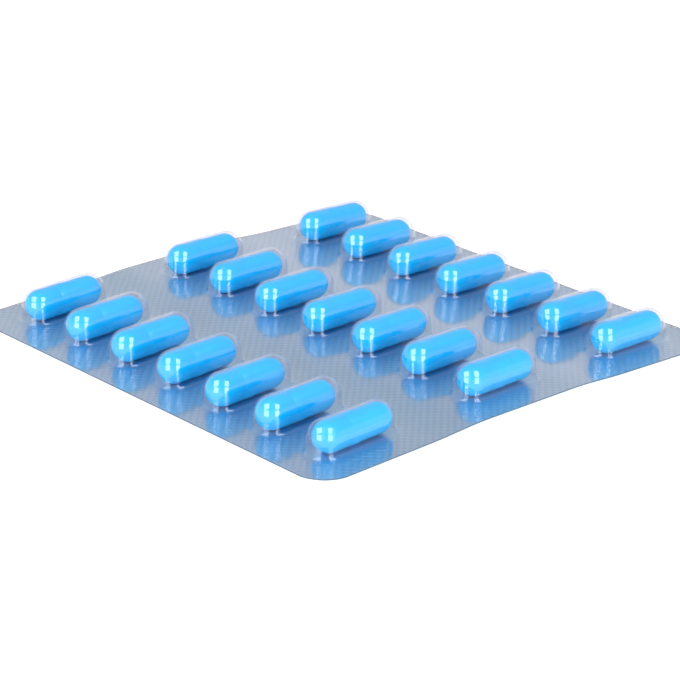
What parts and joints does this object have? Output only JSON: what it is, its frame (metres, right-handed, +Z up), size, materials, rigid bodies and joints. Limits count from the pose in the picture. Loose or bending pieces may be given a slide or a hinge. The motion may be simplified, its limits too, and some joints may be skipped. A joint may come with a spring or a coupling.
{
  "type": "capsule blister pack",
  "caption": "Square card of clear formed film with domed oblong pockets, sealed to a thin foil and holding a glossy blue hard capsule in each pocket.",
  "frame": {"origin": "centre of the card's footprint, on the surface that the foil rests on", "axes": "+X along the capsules, +Y along a row of pockets, +Z up, out of the pockets"},
  "size_m": [0.1148, 0.118, 0.0089],
  "materials": {
    "clear_film": "clear gloss",
    "foil": "satin with a fine square knurl",
    "blue_gelatin": "gloss",
    "powder": "matte"
  },
  "bodies": {
    "root": {"forming_film": "clear_film", "lidding_foil": "foil", "capsule_cap_01": "blue_gelatin", "capsule_cap_02": "blue_gelatin", "capsule_cap_03": "blue_gelatin", "capsule_cap_04": "blue_gelatin", "capsule_cap_05": "blue_gelatin", "capsule_cap_06": "blue_gelatin", "capsule_cap_07": "blue_gelatin", "capsule_cap_08": "blue_gelatin", "capsule_cap_09": "blue_gelatin", "capsule_cap_10": "blue_gelatin", "capsule_cap_11": "blue_gelatin", "capsule_cap_12": "blue_gelatin", "capsule_cap_13": "blue_gelatin", "capsule_cap_14": "blue_gelatin", "capsule_cap_15": "blue_gelatin", "capsule_cap_16": "blue_gelatin", "capsule_cap_17": "blue_gelatin", "capsule_cap_18": "blue_gelatin", "capsule_cap_19": "blue_gelatin", "capsule_cap_20": "blue_gelatin", "capsule_cap_21": "blue_gelatin", "capsule_body_01": "blue_gelatin", "capsule_body_02": "blue_gelatin", "capsule_body_03": "blue_gelatin", "capsule_body_04": "blue_gelatin", "capsule_body_05": "blue_gelatin", "capsule_body_06": "blue_gelatin", "capsule_body_07": "blue_gelatin", "capsule_body_08": "blue_gelatin", "capsule_body_09": "blue_gelatin", "capsule_body_10": "blue_gelatin", "capsule_body_11": "blue_gelatin", "capsule_body_12": "blue_gelatin", "capsule_body_13": "blue_gelatin", "capsule_body_14": "blue_gelatin", "capsule_body_15": "blue_gelatin", "capsule_body_16": "blue_gelatin", "capsule_body_17": "blue_gelatin", "capsule_body_18": "blue_gelatin", "capsule_body_19": "blue_gelatin", "capsule_body_20": "blue_gelatin", "capsule_body_21": "blue_gelatin", "powder_fill_row_1": "powder", "powder_fill_row_2": "powder", "powder_fill_row_3": "powder"}
  },
  "joints": []
}
